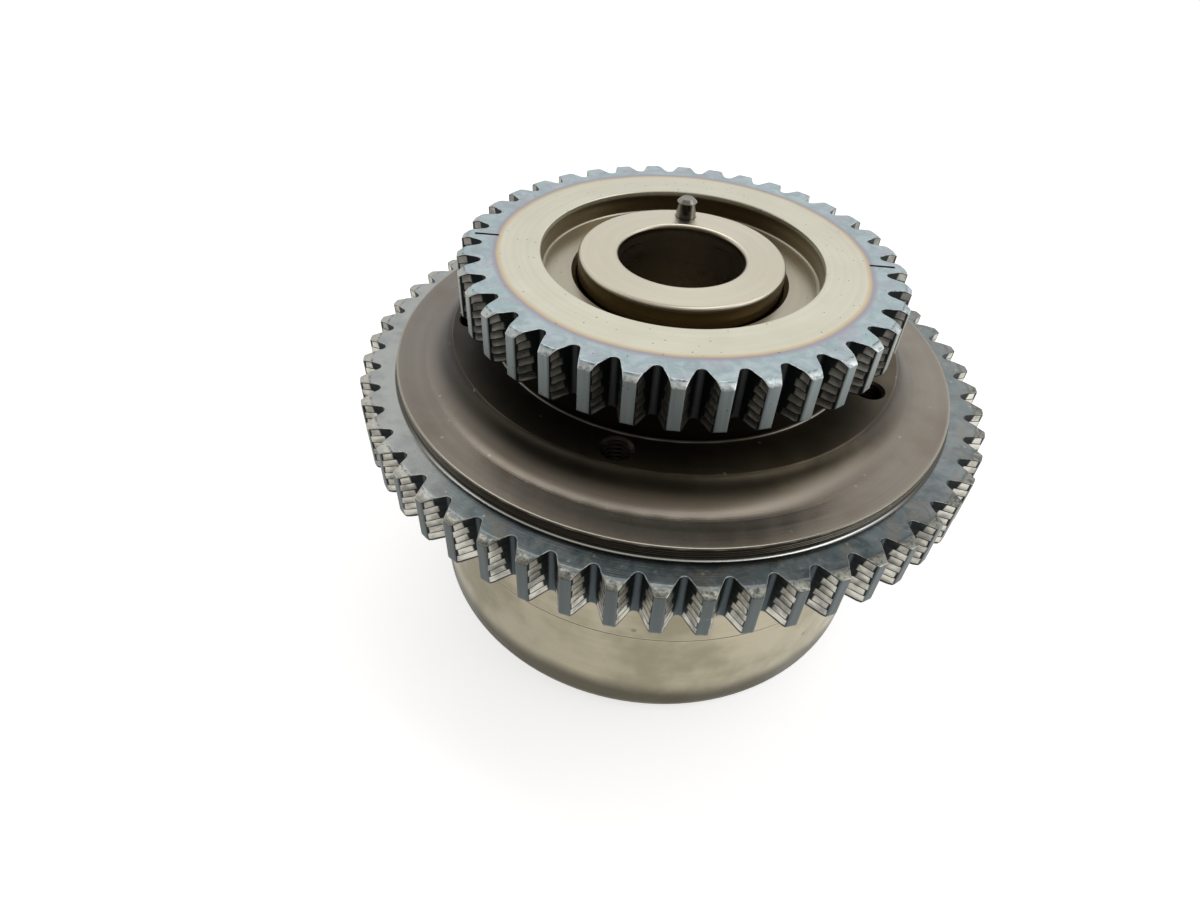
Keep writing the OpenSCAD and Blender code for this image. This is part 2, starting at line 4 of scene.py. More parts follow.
import bpy
import numpy as np
from mathutils import Matrix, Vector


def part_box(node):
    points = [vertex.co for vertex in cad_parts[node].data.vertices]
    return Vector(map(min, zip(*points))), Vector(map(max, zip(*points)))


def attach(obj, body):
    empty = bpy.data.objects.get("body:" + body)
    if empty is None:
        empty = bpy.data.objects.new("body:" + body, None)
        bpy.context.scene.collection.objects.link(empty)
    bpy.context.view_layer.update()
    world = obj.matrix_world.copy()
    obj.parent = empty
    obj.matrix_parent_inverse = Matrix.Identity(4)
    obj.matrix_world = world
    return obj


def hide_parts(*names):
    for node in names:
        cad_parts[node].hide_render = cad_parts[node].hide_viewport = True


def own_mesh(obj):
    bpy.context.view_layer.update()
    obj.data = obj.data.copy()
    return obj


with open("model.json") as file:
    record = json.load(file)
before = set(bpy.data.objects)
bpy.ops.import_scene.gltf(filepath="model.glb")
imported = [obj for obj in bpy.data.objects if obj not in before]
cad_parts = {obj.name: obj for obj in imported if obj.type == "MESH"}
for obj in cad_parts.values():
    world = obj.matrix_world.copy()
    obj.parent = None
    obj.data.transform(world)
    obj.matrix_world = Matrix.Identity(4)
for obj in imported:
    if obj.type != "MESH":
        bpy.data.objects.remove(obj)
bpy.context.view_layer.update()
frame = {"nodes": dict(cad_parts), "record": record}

MM = 0.001


# Sizes, in millimetres, read from the frame or repeated from the part's source

def node_span(node):
    """Lowest and highest corner of a node, in millimetres."""
    low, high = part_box(node)
    return np.array(low) / MM, np.array(high) / MM


# Chain: its pitch, and how many plates lie side by side across a tooth
PITCH = 6.35
PLATES_ACROSS = 6

SMALL = dict(teeth=36, depth=3.8, flank=25.0, root=0.85, phase=2.9)
LARGE = dict(teeth=54, depth=3.4, flank=29.5, root=0.8, phase=-0.2)
for wheel, rise in ((SMALL, 0.1), (LARGE, -0.25)):
    wheel["tip"] = PITCH / 2 / np.tan(np.pi / wheel["teeth"]) + rise

# Tooth bevels; the large ones are as wide as the photo shows them, which is wider than in the part's source
SMALL_BEVEL = dict(out=1.25, down=0.65, low=0.7)
LARGE_BEVEL = dict(out=1.95, down=0.27, low=0.35)

# Heights
Z_BOSS, Z_TOP = (corner[2] for corner in node_span("secondary_sprocket"))
Z_SEAM = node_span("vane_housing")[0][2]
Z_SMALL = Z_TOP - 8.5
Z_TROUGH = Z_TOP - 3.9
Z_WEB = Z_TROUGH - 4.0
Z_PLATE = Z_BOSS - 3.95
Z_RING_TOP = Z_PLATE - 2.15
Z_RING = Z_RING_TOP - 9.05

# Radii and rounds of the turned forms
NECK_R = SMALL["tip"] - SMALL["depth"] - 1.2
TROUGH_R, WEB_BORE_R, WEB_BEVEL = 23.05, 17.35, 0.7
JOURNAL_R, SPIGOT_R = 17.05, 25.0
EDGE, PLATE_EDGE, TROUGH_EASE = 0.3, 0.25, 0.5
NECK_TOP, NECK_FOOT, RING_FOOT = 0.4, 0.25, 0.45
BOSS_R, PLATE_R, BOSS_FILLET = 38.3, LARGE["tip"] - LARGE["depth"] - 2.9, 5.3
TURN_STEP, TURN_FROM, GROOVE = 0.36, 0.4, 0.12
SKIN_GAP, WEB_GAP = 0.05, 0.1

# Extra rows of points: beside a rounded edge, so that the flat stays flat, down a wall, and on the flats
HOLD, WALL_ROW = 0.06, 2
TROUGH_ROW, FACE_ROWS = 19.5, (25.5, 28)
BOSS_ROWS, PLATE_ROWS, UNDER_ROW = (30, 36.9), (44.5, 46), 40

# Worn teeth: eased rim of the bevel and least bevel beside a gap; stretch of the flanks that plates touch, in
# shares of the tooth's depth, with the widths over which it begins and ends; share of a plate left as a ridge
BRIM, RIM_LEAST = 0.12, 0.2
FLANK_FROM, FLANK_RISE, FLANK_TO, FLANK_FALL = 0.05, 0.08, 0.8, 0.25
RIDGE = 0.15

# Tapped holes, timing marks, heat tint, lock pin's seat and spring
BOLT_AT, BOLT_CORE_R, THREAD_PITCH = 34.7, 2.1, 0.8
THREAD_DEPTH, TAP_MOUTH, TAP_OVER = 0.4, 0.5, 0.4
BOLT_ANGLES = np.array([-99.4, -21.8, 48.8, 119.4, 190.0])
MARK_TEETH = np.array([0, 18])
MARK_ANGLES = SMALL["phase"] + 360 / SMALL["teeth"] * MARK_TEETH
MARK_W, MARK_LEN, MARK_GAP, MARK_OVER = 0.5, 3.9, 2.2, 0.2
MARK_R = SMALL["tip"] - MARK_GAP - MARK_LEN
TINT_R = 30.0
SEAT_AT, SEAT_HALF, SEAT_DEPTH = 29.5, 5.1, 4.1
SEAT_ANGLE, SWING = -60.6, 25.0
PIN_WIRE, PIN_TURNS, PIN_TRAVEL = 0.7, 7, 3.0


# Surfaces as arrays

def mesh_from_grid(name, rows):
    """Mesh of a closed skin: rows is (m, n, 3) in millimetres. Each cell joins neighbours in both directions,
    and the last row and column join the first."""
    m, n, _ = rows.shape
    a = np.arange(m * n).reshape(m, n)
    b = np.roll(a, -1, axis=0)
    quads = np.stack([a, np.roll(a, -1, axis=1), np.roll(b, -1, axis=1), b], axis=-1).reshape(-1, 4)
    return mesh_from_arrays(name, rows.reshape(-1, 3), quads)


def rod_from_grid(name, rows, flip=False):
    """Mesh of a rod: rows is (m, n, 3) in millimetres, each row is closed on itself, and both ends have caps.
    Faces point out where rows run anticlockwise seen from the last one, or clockwise with flip set."""
    m, n, _ = rows.shape
    index = np.arange(m * n).reshape(m, n)
    a, b = index[:-1], index[1:]
    quads = np.stack([a, np.roll(a, -1, axis=1), np.roll(b, -1, axis=1), b], axis=-1).reshape(-1, 4)
    caps = index[0][::-1], index[-1]
    if flip:
        quads, caps = quads[:, [0, 3, 2, 1]], (index[0], index[-1][::-1])
    return mesh_from_arrays(name, rows.reshape(-1, 3), quads, caps)


def mesh_from_arrays(name, points, faces, caps=()):
    """Mesh from points in millimetres, an array of quads, and lists of indices for end caps."""
    data = bpy.data.meshes.new(name)
    data.from_pydata((points * MM).tolist(), [], faces.tolist() + [list(c) for c in caps])
    data.validate()
    data.update()
    obj = bpy.data.objects.new(name, data)
    bpy.context.scene.collection.objects.link(obj)
    return obj


def add_attribute(obj, name, values):
    """Store one number per point, for the piece's material."""
    layer = obj.data.attributes.new(name, "FLOAT", "POINT")
    layer.data.foreach_set("value", np.asarray(values, np.float32).ravel())


def polar(r, angle, z):
    """Points at a radius, an angle in radians and a height."""
    r, angle, z = np.broadcast_arrays(r, angle, z)
    return np.stack([r * np.cos(angle), r * np.sin(angle), z], axis=-1)


def arc(centre, r, start, end, n):
    """Radius and height pairs of an arc about a centre, from one angle to another in degrees."""
    a = np.radians(np.linspace(start, end, n))
    return [(centre[0] + r * np.cos(t), centre[1] + r * np.sin(t)) for t in a]


def tooth_outline(teeth, tip, depth, flank, root, phase, corner=0.22):
    """Closed outline of a toothed ring, as radii and angles that run anticlockwise.
    One tooth gap is a round bottom, two straight sides at the flank angle, corners eased by a quadratic
    curve and half a tip land each side. The gap is mirrored on its middle line and repeated at every
    pitch."""
    slope = np.radians(flank)
    bottom = np.linspace(-np.pi / 2, -slope, 5)
    round_part = np.stack([root * np.cos(bottom), tip - depth + root + root * np.sin(bottom)], 1)
    foot, along = round_part[-1], np.array([np.sin(slope), np.cos(slope)])
    reach = -foot @ along + np.sqrt((foot @ along) ** 2 - foot @ foot + tip ** 2)
    tip_corner = foot + reach * along
    side = foot + np.outer(np.linspace(0, reach - corner, 6)[1:-1], along)
    away = np.array([tip_corner[1], -tip_corner[0]]) / tip
    u = np.linspace(0, 1, 4)[:, None]
    ease = ((1 - u) ** 2 * (tip_corner - corner * along) + 2 * u * (1 - u) * tip_corner
            + u ** 2 * (tip_corner + corner * away))
    land_angle = np.linspace(np.arctan2(ease[-1, 0], ease[-1, 1]), np.pi / teeth, 4)[1:]
    land = tip * np.stack([np.sin(land_angle), np.cos(land_angle)], 1)
    half = np.concatenate([round_part, side, ease, land])
    radius, offset = np.hypot(half[:, 0], half[:, 1]), np.arctan2(half[:, 0], half[:, 1])
    radius = np.concatenate([radius[:0:-1], radius[:-1]])
    offset = np.concatenate([-offset[:0:-1], offset[:-1]])
    middles = np.radians(phase + 360 / teeth * (np.arange(teeth) + 0.5))
    return np.tile(radius, teeth), (middles[:, None] + offset).ravel()


def inward(x, y):
    """Unit vectors that point into a closed anticlockwise outline, from its central differences."""
    tx, ty = np.roll(x, -1) - np.roll(x, 1), np.roll(y, -1) - np.roll(y, 1)
    length = np.hypot(tx, ty)
    return -ty / length, tx / length


def toothed_wheel(name, wheel, bevel, inner_profile, under_profile, z_low, z_high,
                  start_r, under_r, low_round, worn):
    """Closed skin of a toothed ring: a turned profile inside, and teeth outside, as one ring of rows.
    Rows of the profile are circles. From start_r outwards the rows pass from a circle to the tooth outline,
    their height falling along the tip bevel; the sides then go down in steps that chain plates wore into the
    flanks, and the rows return below to a circle at under_r and to the profile's start.
    Each point keeps where it lies: on a side, how far down it, on a bevel (1) or its outer edge (2), and how
    deep in the tooth gap."""
    radius, angle = tooth_outline(**wheel)
    tip, depth = wheel["tip"], wheel["depth"]
    x, y = radius * np.cos(angle), radius * np.sin(angle)
    nx, ny = inward(x, y)
    drop = (tip - radius) / depth
    flank = (np.clip((drop - FLANK_FROM) / FLANK_RISE, 0, 1)
             * np.clip((FLANK_TO - drop) / FLANK_FALL, 0, 1))
    rows, tags = [], []

    def put(points, side=0.0, across=0.0, edge=0.0):
        rows.append(points)
        tags.append(np.stack(np.broadcast_arrays(side, across, edge, drop), -1))

    def bevel_share(r):
        return (r - tip + bevel["out"]) / bevel["out"]

    def top_height(r):
        return z_high - bevel["down"] * np.clip(bevel_share(r), 0, None)

    def low_height(r):
        return z_low + bevel["low"] * np.clip((r - tip + bevel["low"]) / bevel["low"], 0, None)

    def inset(d):
        return x + d * nx, y + d * ny

    for r, z in inner_profile:
        put(polar(r, angle, z))
    ex, ey = inset(BRIM)
    rim_r = np.hypot(ex, ey)
    fold_r = np.minimum(tip - bevel["out"], rim_r - RIM_LEAST)
    crease = np.clip((fold_r - start_r) / (rim_r - start_r), 0.3, 0.97)
    sx, sy = start_r * np.cos(angle), start_r * np.sin(angle)
    # Rows just before and after the crease keep it crisp
    near, past = crease - 0.02, crease + 0.15 * (1 - crease)
    for share in (0 * crease, 0.5 * crease, near, crease, past, 0.5 + 0.5 * crease, 0 * crease + 1):
        px, py = sx + share * (ex - sx), sy + share * (ey - sy)
        r = np.hypot(px, py)
        put(np.stack([px, py, top_height(r)], -1), edge=np.clip(bevel_share(r), 0, 1))
    lip = 0.3 * BRIM
    px, py = inset(lip)
    put(np.stack([px, py, top_height(radius) - lip], -1), edge=2.0)
    z_from, z_to = top_height(radius) - BRIM, low_height(radius) + low_round
    plate = 1 / PLATES_ACROSS
    ridges = np.arange(PLATES_ACROSS + 1) * plate
    places = np.concatenate([ridges, ridges[:-1] + RIDGE * plate, ridges[:-1] + (1 - RIDGE) * plate])
    reliefs = np.repeat([0.0, 1.0], [PLATES_ACROSS + 1, 2 * PLATES_ACROSS])
    for k in np.argsort(places):
        px, py = inset(worn * reliefs[k] * flank)
        put(np.stack([px, py, z_from + places[k] * (z_to - z_from)], -1), side=1.0, across=places[k])
    for t in np.radians((20, 40, 60, 90)):
        px, py = inset(low_round * (1 - np.cos(t)))
        put(np.stack([px, py, low_height(radius) + low_round * (1 - np.sin(t))], -1), side=0.8, across=1.0)
    ux, uy = under_r * np.cos(angle), under_r * np.sin(angle)
    px, py = inset(low_round)
    put(np.stack([0.5 * (px + ux), 0.5 * (py + uy), np.full_like(x, z_low)], -1))
    for r, z in under_profile:
        put(polar(r, angle, z))
    skin = mesh_from_grid(name, np.array(rows))
    tags = np.array(tags)
    for k, tag in enumerate(("side", "across", "edge", "drop")):
        add_attribute(skin, tag, tags[..., k])
    return skin


def turned_body(name, profile, columns=256):
    """Closed skin of a turned piece: a closed profile of radii and heights carried round the axis."""
    profile = np.array(profile)
    angle = np.linspace(0, 2 * np.pi, columns, endpoint=False)
    return mesh_from_grid(name, polar(profile[:, :1], angle[None, :], profile[:, 1:]))


def screw_cutter(name, x, y, z_from, z_to, core, crest, pitch, mouth):
    """Closed rod with a screw thread, for cutting a tapped hole: its radius is the core plus a triangle wave
    of height over the pitch less the turn, and it widens like a cone over the last stretch, the hole's
    mouth."""
    turn = np.linspace(0, 2 * np.pi, 40, endpoint=False)
    z = np.linspace(z_from, z_to, int((z_to - z_from) / pitch * 8) + 1)[:, None]
    wave = np.abs(((z / pitch - turn / (2 * np.pi)) % 1) * 2 - 1)
    r = core + (crest - core) * wave
    r = np.maximum(r, crest + (z - z_to + mouth))
    return rod_from_grid(name, np.stack([x + r * np.cos(turn), y + r * np.sin(turn), z + 0 * turn], -1))


def sector_cutter(name, r_in, r_out, angle, width, z_from, z_to, n=24):
    """Closed block of a ring: a rectangle of radii and heights swept through a width of angles in degrees."""
    a = np.radians(np.linspace(angle - width / 2, angle + width / 2, n))
    section = np.array([(r_in, z_from), (r_out, z_from), (r_out, z_to), (r_in, z_to)])
    return rod_from_grid(name, polar(section[None, :, 0], a[:, None], section[None, :, 1]), flip=True)


def coil(name, centre, r, wire, z_from, z_to, turns, start, steps=24, around=10):
    """Closed wire of a compression spring: a circle of wire carried along a helix whose first and last turns
    lie flat. Its two directions are outwards from the spring's axis, and across that and the way along the
    wire."""
    turn = np.linspace(0, turns, turns * steps + 1)
    angle = 2 * np.pi * turn + start
    z = z_from + wire / 2 + (z_to - z_from - wire) * np.clip((turn - 1) / (turns - 2), 0, 1)
    path = np.stack([centre[0] + r * np.cos(angle), centre[1] + r * np.sin(angle), z], -1)
    along = np.gradient(path, axis=0)
    along /= np.linalg.norm(along, axis=1)[:, None]
    out = np.stack([np.cos(angle), np.sin(angle), 0 * angle], -1)
    across = np.cross(along, out)
    u = np.linspace(0, 2 * np.pi, around, endpoint=False)[None, :, None]
    rows = path[:, None] + wire / 2 * (np.cos(u) * out[:, None] + np.sin(u) * across[:, None])
    return rod_from_grid(name, rows, flip=True)


def cut(piece, cutters):
    """Take each cutter out of the piece, then delete the cutters."""
    for cutter in cutters:
        step = piece.modifiers.new("cut", "BOOLEAN")
        step.operation, step.solver, step.object = "DIFFERENCE", "EXACT", cutter
    bpy.context.view_layer.update()
    shaped = bpy.data.meshes.new_from_object(piece.evaluated_get(bpy.context.evaluated_depsgraph_get()))
    piece.modifiers.clear()
    piece.data = shaped
    for cutter in cutters:
        bpy.data.objects.remove(cutter)


def shade(piece, angle=28):
    """Smooth shading, with edges sharper than the angle kept crisp."""
    piece.data.shade_smooth()
    piece.data.set_sharp_from_angle(angle=np.radians(angle))


# The two sprockets and the lock pin's spring

def small_sprocket():
    """Upper sprocket: web bore, trough, tinted face, teeth, and the neck that stands on the boss."""
    hub = ([(WEB_BORE_R, Z_WEB), (WEB_BORE_R, Z_TROUGH - WEB_BEVEL), (WEB_BORE_R + WEB_BEVEL, Z_TROUGH),
            (TROUGH_ROW, Z_TROUGH), (TROUGH_R - TROUGH_EASE - HOLD, Z_TROUGH)]
           + arc((TROUGH_R - TROUGH_EASE, Z_TROUGH + TROUGH_EASE), TROUGH_EASE, 270, 360, 4)
           + [(TROUGH_R, Z_TOP - WALL_ROW)]
           + arc((TROUGH_R + EDGE, Z_TOP - EDGE), EDGE, 180, 90, 4)
           + [(TROUGH_R + EDGE + HOLD, Z_TOP)] + [(r, Z_TOP) for r in FACE_ROWS])
    under = ([(NECK_R + NECK_TOP, Z_SMALL)]
             + arc((NECK_R + NECK_TOP, Z_SMALL - NECK_TOP), NECK_TOP, 90, 180, 4)[1:]
             + [(NECK_R, Z_BOSS + WALL_ROW)]
             + arc((NECK_R + NECK_FOOT, Z_BOSS + NECK_FOOT), NECK_FOOT, 180, 270, 6)
             + [(SPIGOT_R, Z_BOSS), (SPIGOT_R, Z_WEB)])
    skin = toothed_wheel("small_sprocket", SMALL, SMALL_BEVEL, hub, under, Z_SMALL, Z_TOP,
                         start_r=31.0, under_r=NECK_R + 0.5, low_round=0.2, worn=0.06)
    width = np.degrees(MARK_W / (MARK_R + MARK_LEN / 2))
    cut(skin, [sector_cutter("mark", MARK_R, MARK_R + MARK_LEN, a, width,
                             Z_TOP - MARK_W / 2, Z_TOP + MARK_OVER, n=3) for a in MARK_ANGLES])
    shade(skin)
    return skin


def large_ring():
    """Toothed ring of the lower sprocket, from the foot of the raised plate outwards."""
    inner_r, z_foot = PLATE_R - 1, Z_RING_TOP + RING_FOOT
    top = ([(inner_r, Z_RING), (inner_r, z_foot), (PLATE_R - SKIN_GAP, z_foot)]
           + arc((PLATE_R + RING_FOOT, z_foot), RING_FOOT, 180, 270, 8)
           + [(PLATE_R + RING_FOOT + HOLD, Z_RING_TOP)])
    under = [(PLATE_R + 0.5, Z_RING)]
    skin = toothed_wheel("large_ring", LARGE, LARGE_BEVEL, top, under, Z_RING, Z_RING_TOP,
                         start_r=49.4, under_r=49.0, low_round=0.75, worn=0.07)
    shade(skin)
    return skin


def large_body():
    """Turned body of the lower sprocket: bearing bore, spigot, boss with tapped holes, hollow fillet and
    raised plate, whose wall keeps the fine grooves of its turning."""
    lean = np.degrees(np.arcsin(1 - (Z_BOSS - EDGE - Z_PLATE) / BOSS_FILLET))
    middle = (BOSS_R + BOSS_FILLET * np.cos(np.radians(lean)), Z_PLATE + BOSS_FILLET)
    grooves = np.arange(Z_PLATE - TURN_FROM, Z_RING_TOP + EDGE, -TURN_STEP)
    wall = [(PLATE_R - GROOVE * inner, z - TURN_STEP * share) for z in grooves
            for inner, share in ((0, 0), (0, 0.4), (1, 0.55), (1, 0.85))]
    spigot_r, groove_r = SPIGOT_R - SKIN_GAP, PLATE_R - GROOVE
    profile = ([(JOURNAL_R, Z_RING), (JOURNAL_R, Z_WEB - WEB_GAP), (spigot_r, Z_WEB - WEB_GAP)]
               + [(r, Z_BOSS) for r in (spigot_r, *BOSS_ROWS, BOSS_R - EDGE - HOLD)]
               + arc((BOSS_R - EDGE, Z_BOSS - EDGE), EDGE, 90, 0, 4)[:-1]
               + arc(middle, BOSS_FILLET, 180 + lean, 270, 16)
               + [(r, Z_PLATE) for r in (*PLATE_ROWS, PLATE_R - PLATE_EDGE - HOLD)]
               + arc((PLATE_R - PLATE_EDGE, Z_PLATE - PLATE_EDGE), PLATE_EDGE, 90, 0, 4)
               + wall + [(groove_r, Z_RING + EDGE), (groove_r, Z_RING), (UNDER_ROW, Z_RING)])
    skin = turned_body("large_body", profile)
    turns, below = np.radians(BOLT_ANGLES), Z_RING - 1
    cutters = [screw_cutter("tap", BOLT_AT * np.cos(t), BOLT_AT * np.sin(t), below, Z_BOSS + TAP_OVER,
                            BOLT_CORE_R, BOLT_CORE_R + THREAD_DEPTH, THREAD_PITCH, TAP_MOUTH) for t in turns]
    reach = SWING + 2 * np.degrees(np.arcsin(SEAT_HALF / SEAT_AT))
    cutters.append(sector_cutter("seat_pocket", SEAT_AT - SEAT_HALF, SEAT_AT + SEAT_HALF, SEAT_ANGLE, reach,
                                 below, Z_RING + SEAT_DEPTH))
    cut(skin, cutters)
    shade(skin)
    return skin


small, ring, body = small_sprocket(), large_ring(), large_body()
for piece, node, finish in ((small, "secondary_sprocket", "small_sprocket_steel"),
                            (ring, "primary_sprocket", "large_sprocket_steel"),
                            (body, "primary_sprocket", "large_sprocket_steel")):
    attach(piece, "housing")
    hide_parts(node)


def lock_pin_coil():
    """Spring under the lock pin, which shortens as the pin draws back; the coil is built once, filling the
    span of the part's spring.
    """
    low, high = node_span("lock_pin_spring")
    centre, coil_r = (low + high)[:2] / 2, (high - low)[:2].min() / 2 - PIN_WIRE / 2
    piece = coil("lock_pin_coil", centre, coil_r, PIN_WIRE, low[2], high[2],
                 PIN_TURNS, np.arctan2(centre[1], centre[0]))
    shade(piece, 50)
    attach(piece, "rotor")
    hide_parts("lock_pin_spring")
    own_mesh(piece)
    return piece


pin_coil = lock_pin_coil()


# Shader node groups

def new_group(name, inputs, outputs):
    """Empty shader group with float, colour or vector sockets."""
    kinds = {"f": "NodeSocketFloat", "c": "NodeSocketColor", "v": "NodeSocketVector"}
    group = bpy.data.node_groups.new(name, "ShaderNodeTree")
    for label, kind in outputs.items():
        group.interface.new_socket(name=label, in_out="OUTPUT", socket_type=kinds[kind])
    for label, (kind, value) in inputs.items():
        socket = group.interface.new_socket(name=label, in_out="INPUT", socket_type=kinds[kind])
        socket.default_value = value
    return group, group.nodes.new("NodeGroupInput").outputs, group.nodes.new("NodeGroupOutput").inputs


class Sketch:
    """Short ways to add nodes to a tree: each call returns the output socket."""

    def __init__(self, tree):
        self.tree = tree

    def plug(self, socket, value):
        if isinstance(value, bpy.types.NodeSocket):
            self.tree.links.new(value, socket)
        elif value is not None:
            socket.default_value = value

    def math(self, operation, a, b=None, c=None, clamp=False):
        node = self.tree.nodes.new("ShaderNodeMath")
        node.operation, node.use_clamp = operation, clamp
        for socket, value in zip(node.inputs, (a, b, c)):
            self.plug(socket, value)
        return node.outputs[0]

    def ramp(self, value, start, end, low=0.0, high=1.0):
        """Smooth step of a value between two places."""
        node = self.tree.nodes.new("ShaderNodeMapRange")
        node.interpolation_type = "SMOOTHSTEP"
        for socket, v in zip(node.inputs, (value, start, end, low, high)):
            self.plug(socket, v)
        return node.outputs[0]

    def mix(self, share, a, b, blend="MIX"):
        node = self.tree.nodes.new("ShaderNodeMix")
        node.data_type, node.blend_type = "RGBA", blend
        self.plug(node.inputs["Factor"], share)
        self.plug(node.inputs[6], a)
        self.plug(node.inputs[7], b)
        return node.outputs[2]

    def noise(self, vector, scale, detail=3.0, rough=0.55, warp=0.0):
        node = self.tree.nodes.new("ShaderNodeTexNoise")
        node.inputs["Distortion"].default_value = warp
        self.plug(node.inputs["Vector"], vector)
        self.plug(node.inputs["Scale"], scale)
        self.plug(node.inputs["Detail"], detail)
        self.plug(node.inputs["Roughness"], rough)
        return node.outputs["Fac"]

    def xyz(self, x, y, z):
        node = self.tree.nodes.new("ShaderNodeCombineXYZ")
        for socket, v in zip(node.inputs, (x, y, z)):
            self.plug(socket, v)
        return node.outputs[0]

    def split(self, vector):
        node = self.tree.nodes.new("ShaderNodeSeparateXYZ")
        self.plug(node.inputs[0], vector)
        return node.outputs

    def place(self):
        return self.tree.nodes.new("ShaderNodeTexCoord").outputs["Object"]

    def attribute(self, name):
        node = self.tree.nodes.new("ShaderNodeAttribute")
        node.attribute_name = name
        return node.outputs["Fac"]

    def use(self, group, **values):
        node = self.tree.nodes.new("ShaderNodeGroup")
        node.node_tree = group
        for label, value in values.items():
            self.plug(node.inputs[label.replace("_", " ")], value)
        return node.outputs


def axis_group():
    """Radius, height and angle about the part's axis, in millimetres and turns."""
    group, given, out = new_group("about_axis", {"Place": ("v", (0, 0, 0))},
                                  {"Radius": "f", "Height": "f", "Turn": "f"})
    s = Sketch(group)
    x, y, z = s.split(given["Place"])
    flat = s.math("SQRT", s.math("ADD", s.math("MULTIPLY", x, x), s.math("MULTIPLY", y, y)))
    s.plug(out["Radius"], s.math("MULTIPLY", flat, 1 / MM))
    s.plug(out["Height"], s.math("MULTIPLY", z, 1 / MM))
    s.plug(out["Turn"], s.math("DIVIDE", s.math("ARCTAN2", y, x), 2 * np.pi))
    return group


def turned_grain_group(axis):
    """Fine rings that a lathe leaves: noise that varies quickly along radius and height and slowly round the
    axis. Bands are the same, broader."""
    group, given, out = new_group("turned_grain", {"Place": ("v", (0, 0, 0)), "Fineness": ("f", 9.0)},
                                  {"Grain": "f", "Bands": "f"})
    s = Sketch(group)
    about = s.use(axis, Place=given["Place"])
    round_it = s.math("MULTIPLY", s.math("ABSOLUTE", about["Turn"]), 5.0)
    for label, fineness in (("Grain", given["Fineness"]), ("Bands", 0.9)):
        lines = s.xyz(s.math("MULTIPLY", about["Radius"], fineness),
                      s.math("MULTIPLY", about["Height"], fineness), round_it)
        s.plug(out[label], s.noise(lines, 1.0, 2.0))
    return group


def pits_group():
    """Scattered small dark pits and specks, as a mask."""
    group, given, out = new_group("pits", {"Place": ("v", (0, 0, 0)), "Scale": ("f", 420.0),
                                           "Share": ("f", 0.3)}, {"Mask": "f"})
    s = Sketch(group)
    cells = group.nodes.new("ShaderNodeTexVoronoi")
    s.plug(cells.inputs["Vector"], given["Place"])
    s.plug(cells.inputs["Scale"], given["Scale"])
    near = s.ramp(cells.outputs["Distance"], 0.2, 0.1)
    tint = s.split(cells.outputs["Color"])[0]
    chosen = s.math("LESS_THAN", tint, given["Share"])
    s.plug(out["Mask"], s.math("MULTIPLY", near, chosen))
    return group


def stain_group():
    """Cloudy stains of oil and handling, from slow noise broken by finer noise."""
    group, given, out = new_group("oil_stain", {"Place": ("v", (0, 0, 0)), "Scale": ("f", 60.0)},
                                  {"Mask": "f"})
    s = Sketch(group)
    slow = s.noise(given["Place"], given["Scale"], 4.0, 0.6)
    s.plug(out["Mask"], s.ramp(slow, 0.42, 0.66))
    return group


def mottle_group():
    """Blotches that heat, scale and handling leave on hardened steel: a base of two tones, with two tints and
    a pale bloom laid over it where separate slow noises are high."""
    tones = {"Dark": (0.2, 0.2, 0.2, 1), "Light": (0.5, 0.5, 0.5, 1), "Tint A": (0.3, 0.4, 0.4, 1),
             "Tint B": (0.4, 0.35, 0.3, 1), "Bloom": (0.7, 0.7, 0.7, 1)}
    group, given, out = new_group("mottle", {"Place": ("v", (0, 0, 0)),
                                             **{label: ("c", tone) for label, tone in tones.items()}},
                                  {"Color": "c"})
    s = Sketch(group)
    place = given["Place"]
    colour = s.mix(s.ramp(s.noise(place, 330.0, 5.0, 0.62, 0.8), 0.33, 0.67), given["Dark"], given["Light"])
    first = s.ramp(s.noise(place, 210.0, 3.0, 0.5, 1.2), 0.5, 0.66, 0.0, 0.6)
    colour = s.mix(first, colour, given["Tint A"])
    x, y, z = s.split(place)
    aside = s.xyz(s.math("ADD", x, 0.3), y, z)
    second = s.ramp(s.noise(aside, 190.0, 3.0, 0.5, 1.0), 0.52, 0.68, 0.0, 0.6)
    colour = s.mix(second, colour, given["Tint B"])
    bloom = s.ramp(s.noise(aside, 900.0, 4.0, 0.65), 0.55, 0.75, 0.0, 0.6)
    s.plug(out["Color"], s.mix(bloom, colour, given["Bloom"]))
    return group


AXIS = axis_group()
GRAIN = turned_grain_group(AXIS)
PITS = pits_group()
STAIN = stain_group()
MOTTLE = mottle_group()


# Materials

def rgb(hex_code):
    """Linear colour from a six-digit screen colour."""
    c = np.array([int(hex_code[k:k + 2], 16) for k in (0, 2, 4)]) / 255
    return tuple(np.where(c <= 0.04045, c / 12.92, ((c + 0.055) / 1.055) ** 2.4)) + (1.0,)


def new_metal(name):
    """Material with a Principled shader set to metal; returns the material, its sketch and the shader's
    inputs."""
    material = bpy.data.materials.new(name)
    material.use_nodes = True
    shader = material.node_tree.nodes["Principled BSDF"]
    shader.inputs["Metallic"].default_value = 1.0
    return material, Sketch(material.node_tree), shader.inputs


def bump(s, shader, height, strength, distance=0.0001):
    """Bump from a height, into the shader's normal."""
    node = s.tree.nodes.new("ShaderNodeBump")
    node.inputs["Strength"].default_value = strength
    node.inputs["Distance"].default_value = distance
    s.plug(node.inputs["Height"], height)
    s.plug(shader["Normal"], node.outputs[0])


